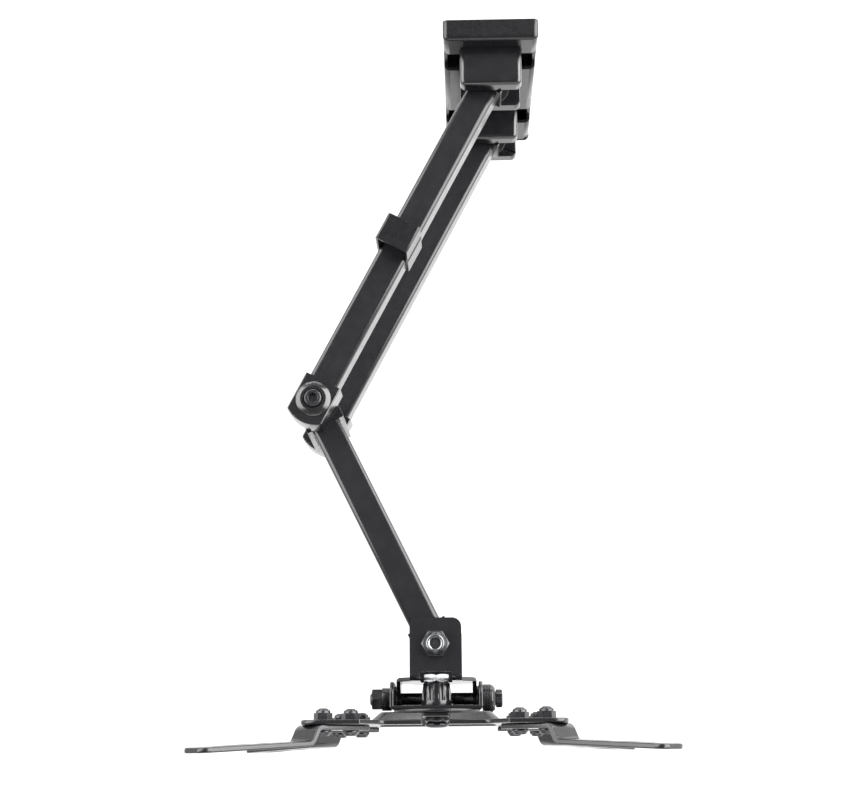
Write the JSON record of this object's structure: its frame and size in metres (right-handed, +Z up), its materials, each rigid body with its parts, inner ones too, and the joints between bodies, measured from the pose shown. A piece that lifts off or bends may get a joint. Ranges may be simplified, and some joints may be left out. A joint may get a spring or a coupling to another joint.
{
  "type": "full-motion TV wall mount",
  "caption": "Black steel full-motion TV wall mount: wall plate, double square-tube arms with an elbow, and a swivelling, tilting, levelling TV plate with adapter arms.",
  "frame": {"origin": "On the wall, midway between the two wall screw holes: the centre of the wall plate's back.", "axes": "+Z up along the wall plate, +Y into the wall, +X to the right for someone facing the wall; the arms and the TV plate reach out along -Y."},
  "size_m": [0.2842, 0.4823, 0.2842],
  "materials": {
    "black_coat": "black satin powder coat",
    "cast_black": "black satin paint on the hinge castings",
    "black_plastic": "black moulded plastic, slightly textured",
    "nylon": "dark nylon",
    "black_bolt": "black oxide steel",
    "zinc": "bright zinc plating",
    "gloss_black": "glossy black"
  },
  "bodies": {
    "wall_side": {"wall_plate": "black_coat", "top_end_cap": "black_plastic", "bottom_end_cap": "black_plastic", "upper_hinge_bracket": "cast_black", "lower_hinge_bracket": "cast_black", "wall_hinge_pins": "black_bolt", "wall_hinge_washers": "nylon"},
    "rear_arms": {"upper_wall_knuckle": "cast_black", "lower_wall_knuckle": "cast_black", "upper_rear_arm": "black_coat", "lower_rear_arm": "black_coat", "upper_elbow_block": "cast_black", "lower_elbow_block": "cast_black", "cable_clip": "black_plastic", "elbow_cup_washer": "cast_black", "elbow_bolt": "black_bolt", "elbow_nut": "black_bolt", "elbow_washers": "nylon"},
    "front_arms": {"elbow_knuckle": "cast_black", "head_knuckle": "cast_black", "upper_front_arm": "black_coat", "lower_front_arm": "black_coat", "swivel_washers": "nylon"},
    "swivel_head": {"swivel_bracket": "black_coat", "swivel_bolt": "black_bolt", "swivel_nut": "black_bolt"},
    "tilt_head": {"tilt_frame": "black_coat", "tilt_bolt": "black_bolt", "tilt_knob": "gloss_black", "tilt_spacer": "black_plastic", "tilt_nut": "black_bolt", "tilt_friction_washers": "nylon", "level_bolt": "black_bolt", "level_lock_nut": "zinc", "level_friction_disc": "nylon", "level_cone_nut": "gloss_black"},
    "tv_plate": {"vesa_plate": "black_coat", "upper_right_adapter_arm": "black_coat", "upper_left_adapter_arm": "black_coat", "lower_right_adapter_arm": "black_coat", "lower_left_adapter_arm": "black_coat", "adapter_screws": "black_bolt", "adapter_nuts": "black_bolt"}
  },
  "joints": [
    {"name": "wall_swivel", "type": "hinge", "parent": "wall_side", "child": "rear_arms", "pos_m": [0, -0.0275, 0], "axis": [0, 0, 1], "range_deg": [-62, 117.6]},
    {"name": "elbow", "type": "hinge", "parent": "rear_arms", "child": "front_arms", "pos_m": [-0.12033, -0.25572, 0], "axis": [0, 0, 1], "range_deg": [-170, 60]},
    {"name": "head_swivel", "type": "hinge", "parent": "front_arms", "child": "swivel_head", "pos_m": [-0.04182, -0.41458, 0], "axis": [0, 0, 1], "range_deg": [-70, 124]},
    {"name": "tilt", "type": "hinge", "parent": "swivel_head", "child": "tilt_head", "pos_m": [-0.04182, -0.44818, 0], "axis": [1, 0, 0], "range_deg": [-8, 15]},
    {"name": "level", "type": "hinge", "parent": "tilt_head", "child": "tv_plate", "pos_m": [-0.04182, -0.41458, 0.016], "axis": [0, 1, 0], "range_deg": [-5, 5]}
  ]
}
